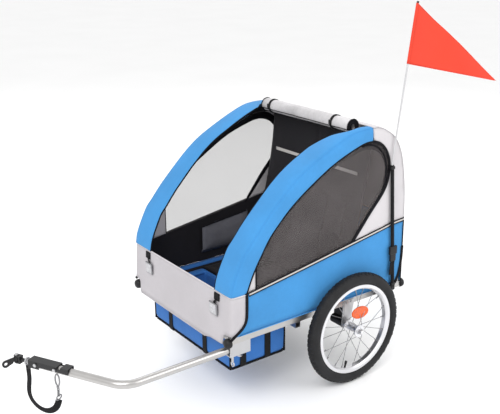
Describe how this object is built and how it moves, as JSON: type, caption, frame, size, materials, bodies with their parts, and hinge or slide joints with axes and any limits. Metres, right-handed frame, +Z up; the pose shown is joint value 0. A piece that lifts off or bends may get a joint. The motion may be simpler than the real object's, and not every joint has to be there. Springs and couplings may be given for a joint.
{
  "type": "child bicycle trailer",
  "caption": "Folding fabric child trailer on a tube frame with spoked wheels, a footwell, a side tow bar with swivel hitch and a safety flag.",
  "frame": {"origin": "on the floor under the centre of the whole trailer's footprint, tow bar and flag included", "axes": "-Y is the way the trailer travels, +X is its left side, which carries the tow bar and the flag, +Z is up"},
  "size_m": [0.762, 1.6917, 1.2744],
  "materials": {
    "frame_tube": "satin",
    "bare_steel": "satin",
    "chrome": "polished",
    "black_plastic": "matte",
    "black_housing": "satin",
    "blue_fabric": "woven",
    "grey_fabric": "woven",
    "black_fabric": "woven",
    "silver_fabric": "woven",
    "flag_cloth": "woven",
    "window_film": "gloss",
    "tyre": "matte",
    "rim_alloy": "polished",
    "orange_reflector": "gloss",
    "white_reflector": "gloss",
    "webbing": "woven",
    "white_plastic": "gloss",
    "board": "satin"
  },
  "bodies": {
    "base": {"side_rails": "frame_tube", "cross_tubes": "frame_tube", "rail_end_caps": "black_plastic", "axle_brackets": "bare_steel", "axle_sockets": "black_plastic", "axles": "bare_steel", "frame_bolts": "bare_steel", "hinge_brackets": "bare_steel", "crossbar": "frame_tube", "roof": "grey_fabric", "rear_panel": "blue_fabric", "front_panel": "grey_fabric", "front_reflectors": "white_reflector", "footwell": "blue_fabric", "floor_panel": "blue_fabric", "seat_board": "board", "seat_cushion": "black_fabric", "seat_back": "black_fabric", "harness": "webbing", "rolled_cover": "silver_fabric", "tow_bar_bracket": "bare_steel", "tow_pivot_pin": "bare_steel", "flag_sleeve": "black_plastic"},
    "left_side": {"left_arch_tube": "frame_tube", "left_crossbar_saddle": "black_plastic", "left_window": "window_film", "left_side_panel": "blue_fabric", "left_gusset": "grey_fabric", "left_band": "blue_fabric"},
    "right_side": {"right_arch_tube": "frame_tube", "right_crossbar_saddle": "black_plastic", "right_window": "window_film", "right_side_panel": "blue_fabric", "right_gusset": "grey_fabric", "right_band": "blue_fabric"},
    "left_wheel": {"left_tyre": "tyre", "left_rim": "rim_alloy", "left_hub": "rim_alloy", "left_wheel_bearings": "chrome", "left_spokes": "chrome", "left_wheel_reflector": "orange_reflector"},
    "right_wheel": {"right_tyre": "tyre", "right_rim": "rim_alloy", "right_hub": "rim_alloy", "right_wheel_bearings": "chrome", "right_spokes": "chrome", "right_wheel_reflector": "orange_reflector"},
    "left_button": {"left_axle_button": "chrome"},
    "right_button": {"right_axle_button": "chrome"},
    "tow_bar": {"tow_bar_tube": "frame_tube", "coupler_housing": "black_housing", "coupler_bolts": "bare_steel", "safety_strap": "webbing", "safety_hook": "bare_steel"},
    "lock_pin": {"tow_lock_pin": "bare_steel"},
    "hitch_swivel": {"hitch_rod": "black_housing", "hitch_bolt": "bare_steel"},
    "hitch_plate": {"hitch_eye": "black_housing"},
    "flag_staff": {"flag_pole": "white_plastic", "flag": "flag_cloth"}
  },
  "joints": [
    {"name": "left_side_fold", "type": "hinge", "parent": "base", "child": "left_side", "pos_m": [0.285, 0.235, 0.304], "axis": [0, -1, 0], "range_deg": [0, 90], "deforming": ["left_band", "seat_back", "harness", "rolled_cover"]},
    {"name": "right_side_fold", "type": "hinge", "parent": "base", "child": "right_side", "pos_m": [-0.285, 0.235, 0.334], "axis": [0, 1, 0], "range_deg": [0, 90], "deforming": ["right_band"]},
    {"name": "left_wheel_spin", "type": "hinge", "parent": "base", "child": "left_wheel", "pos_m": [0.336, 0.235, 0.2], "axis": [1, 0, 0], "continuous": true},
    {"name": "right_wheel_spin", "type": "hinge", "parent": "base", "child": "right_wheel", "pos_m": [-0.336, 0.235, 0.2], "axis": [1, 0, 0], "continuous": true},
    {"name": "left_button_press", "type": "slide", "parent": "base", "child": "left_button", "axis": [-1, 0, 0], "range_m": [0, 0.003], "stiffness_N_per_m": 300, "springref_m": -0.001},
    {"name": "right_button_press", "type": "slide", "parent": "base", "child": "right_button", "axis": [1, 0, 0], "range_m": [0, 0.003], "stiffness_N_per_m": 300, "springref_m": -0.001},
    {"name": "tow_bar_swing", "type": "hinge", "parent": "base", "child": "tow_bar", "pos_m": [0.275, -0.205, 0.246], "axis": [0, 0, -1], "range_deg": [0, 50]},
    {"name": "tow_lock_pin_slide", "type": "slide", "parent": "base", "child": "lock_pin", "axis": [0, 0, -1], "range_m": [-0.022, 0]},
    {"name": "hitch_roll", "type": "hinge", "parent": "tow_bar", "child": "hitch_swivel", "pos_m": [-0.027, -0.771, 0.246], "axis": [-0.8796, -0.4756, 0], "range_deg": [-30, 30]},
    {"name": "hitch_yaw", "type": "hinge", "parent": "hitch_swivel", "child": "hitch_plate", "pos_m": [-0.07626, -0.79763, 0.246], "axis": [0, 0, 1], "range_deg": [-60, 60]},
    {"name": "flag_pole_slide", "type": "slide", "parent": "base", "child": "flag_staff", "axis": [0, -0.0681, 0.9977], "range_m": [0, 0.3]}
  ]
}
